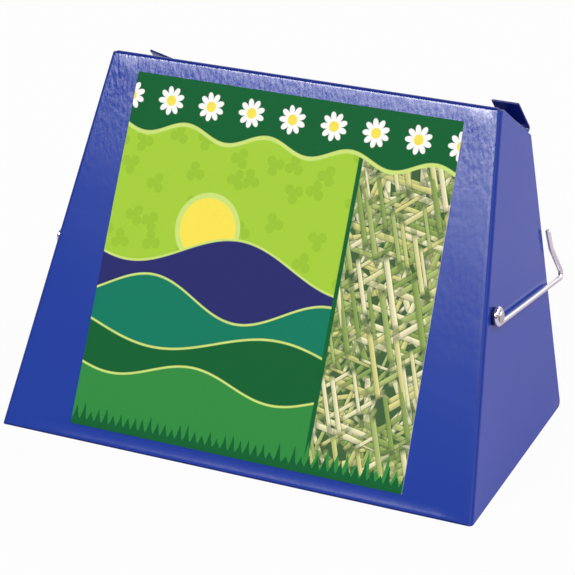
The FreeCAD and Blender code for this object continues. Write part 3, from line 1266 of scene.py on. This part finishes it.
@dataclass
class Studio:
    """The floor, the lights, the surroundings and the camera, in millimetres and degrees.

    The backdrop fades in with a direction's share towards the back, and out with its share upwards.
    """

    image_size: int = 575
    sensor_width: float = 36.0
    focal_pixels: float = 3091.98
    azimuth: float = 30.352
    elevation: float = 25.505
    roll: float = -3.534
    distance: float = 1447.03
    aim_right: float = 28.154
    aim_down: float = -87.031
    floor_reach: float = 6000.0
    floor_colour: str = "#C8BDCA"
    floor_white_seen: float = 0.96
    floor_white_mirrored: float = 0.04
    room_light: float = 0.12
    backdrop_light: float = 1.0
    backdrop_from: tuple[float, float] = (0.0, 0.5)
    backdrop_top: tuple[float, float] = (0.8, 0.4)
    boxes: tuple[SoftBox, ...] = (
        SoftBox(azimuth=-29.5, half_width=11.0, low=28.5, high=46.0, low_blur=4.0, blur=3.0, radiance=8.8),
        SoftBox(azimuth=-29.0, half_width=9.5, low=34.0, high=41.0, low_blur=2.0, blur=2.0, radiance=14.0),
        SoftBox(azimuth=-13.0, half_width=6.0, low=39.5, high=52.0, low_blur=2.0, blur=3.0, radiance=12.0),
        SoftBox(azimuth=25.0, half_width=38.0, low=18.0, high=40.0, low_blur=5.0, blur=8.0, radiance=0.6),
        SoftBox(azimuth=38.0, half_width=28.0, low=46.0, high=66.0, low_blur=5.0, blur=5.0, radiance=2.6),
        SoftBox(azimuth=108.0, half_width=34.0, low=29.0, high=56.0, low_blur=4.0, blur=6.0, radiance=5.0))

    def build(self) -> None:
        """Set up everything around the rack."""
        scene = bpy.context.scene
        scene.view_settings.view_transform = "Standard"
        self._world(scene)
        self._floor()
        self._camera(scene)

    def _world(self, scene: bpy.types.Scene) -> None:
        """Surround the rack with soft boxes in a dim room, which the camera sees as plain white.

        Args:
            scene: The scene that takes the world.
        """
        world = bpy.data.worlds.new("studio")
        scene.world = world
        world.use_nodes = True
        world.node_tree.nodes.clear()
        add = partial(add_node, world.node_tree)
        heading = add("TexCoord").outputs["Generated"]
        axes = add("SeparateXYZ", {0: heading}).outputs
        near, far = self.backdrop_from
        behind = add("MapRange", {"Value": axes["Y"], "From Min": near, "From Max": far,
                                  "To Max": self.backdrop_light})
        top, full = self.backdrop_top
        low = add("MapRange", {"Value": axes["Z"], "From Min": top, "From Max": full})
        light = add("Math", {0: behind, 1: low, 2: self.room_light}, operation="MULTIPLY_ADD")
        for box in self.boxes:
            light = add("Math", {0: light, 1: box.shine(add, heading)}, operation="ADD")
        room = add("Background", {"Color": linear(WHITE), "Strength": light})
        white = add("Background", {"Color": linear(WHITE), "Strength": 1.0})
        seen = add("LightPath").outputs["Is Camera Ray"]
        both = add("MixShader", {0: seen, 1: room, 2: white})
        add("OutputWorld", {"Surface": both})

    def _floor(self) -> None:
        """Lay a plain white floor that keeps a faint shadow."""
        mesh = bmesh.new()
        bmesh.ops.create_grid(mesh, x_segments=1, y_segments=1, size=self.floor_reach)
        material, add = new_material("white_studio_floor")
        matt = add("BsdfDiffuse", {"Color": linear(self.floor_colour)})
        glow = add("Emission", {"Color": linear(WHITE), "Strength": 1.0})
        rays = add("LightPath").outputs
        mirrored = add("Math", {0: rays["Is Glossy Ray"], 1: rays["Is Transmission Ray"]},
                       operation="MAXIMUM")
        faint = add("Math", {0: mirrored, 1: self.floor_white_mirrored}, operation="MULTIPLY")
        share = add("Math", {0: rays["Is Camera Ray"], 1: self.floor_white_seen, 2: faint},
                    operation="MULTIPLY_ADD")
        both = add("MixShader", {0: share, 1: matt, 2: glow})
        add("OutputMaterial", {"Surface": both})
        link_piece("studio_floor", mesh, material)

    def _camera(self, scene: bpy.types.Scene) -> None:
        """Set the camera at the photograph's view.

        Args:
            scene: The scene that takes the camera.
        """
        azimuth, elevation, roll = (math.radians(a) for a in (self.azimuth, self.elevation, self.roll))
        back = Vector((math.sin(azimuth) * math.cos(elevation), -math.cos(azimuth) * math.cos(elevation),
                       math.sin(elevation)))
        right = Vector((math.cos(azimuth), math.sin(azimuth), 0))
        up = back.cross(right)
        tilted_right = right * math.cos(roll) + up * math.sin(roll)
        tilted_up = up * math.cos(roll) - right * math.sin(roll)
        place = tilted_right * self.aim_right - tilted_up * self.aim_down + back * self.distance
        lens = bpy.data.cameras.new("photo_view")
        lens.sensor_width = self.sensor_width
        lens.lens = self.focal_pixels / self.image_size * self.sensor_width
        camera = bpy.data.objects.new("photo_view", lens)
        scene.collection.objects.link(camera)
        axes = Matrix((tilted_right, tilted_up, back)).transposed().to_4x4()
        camera.matrix_world = Matrix.Translation(place * MM) @ axes
        scene.camera = camera


def main() -> None:
    """Build the rack piece by piece, then its studio."""
    logging.basicConfig(level=logging.INFO, format="%(name)s: %(message)s")
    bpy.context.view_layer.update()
    shape = RackShape()
    paint = BakedPaint().make()
    wire = PlatedSteel("bright_nickel_plated_wire", colour="#F3F0F2", roughness=0.12).make()
    rivet = PlatedSteel("zinc_plated_rivet_steel", colour="#D6D2CC", roughness=0.28).make()
    # The washer's dark blue-grey is painted shade, for the shade between the hook's eye and the panel
    washer = PlatedSteel("shade_dark_washer_steel", colour="#33324A", roughness=0.35).make()
    pieces = [FoldedSheet(shape, paint).build(), FrontLabel(shape).build()]
    for side in Side:
        pieces += HookSet(shape, side, wire, rivet, washer).build()
    for piece in pieces:
        log.info("%s: %d faces", piece.name, len(piece.data.polygons))
    Studio().build()


if __name__ == "__main__":
    main()
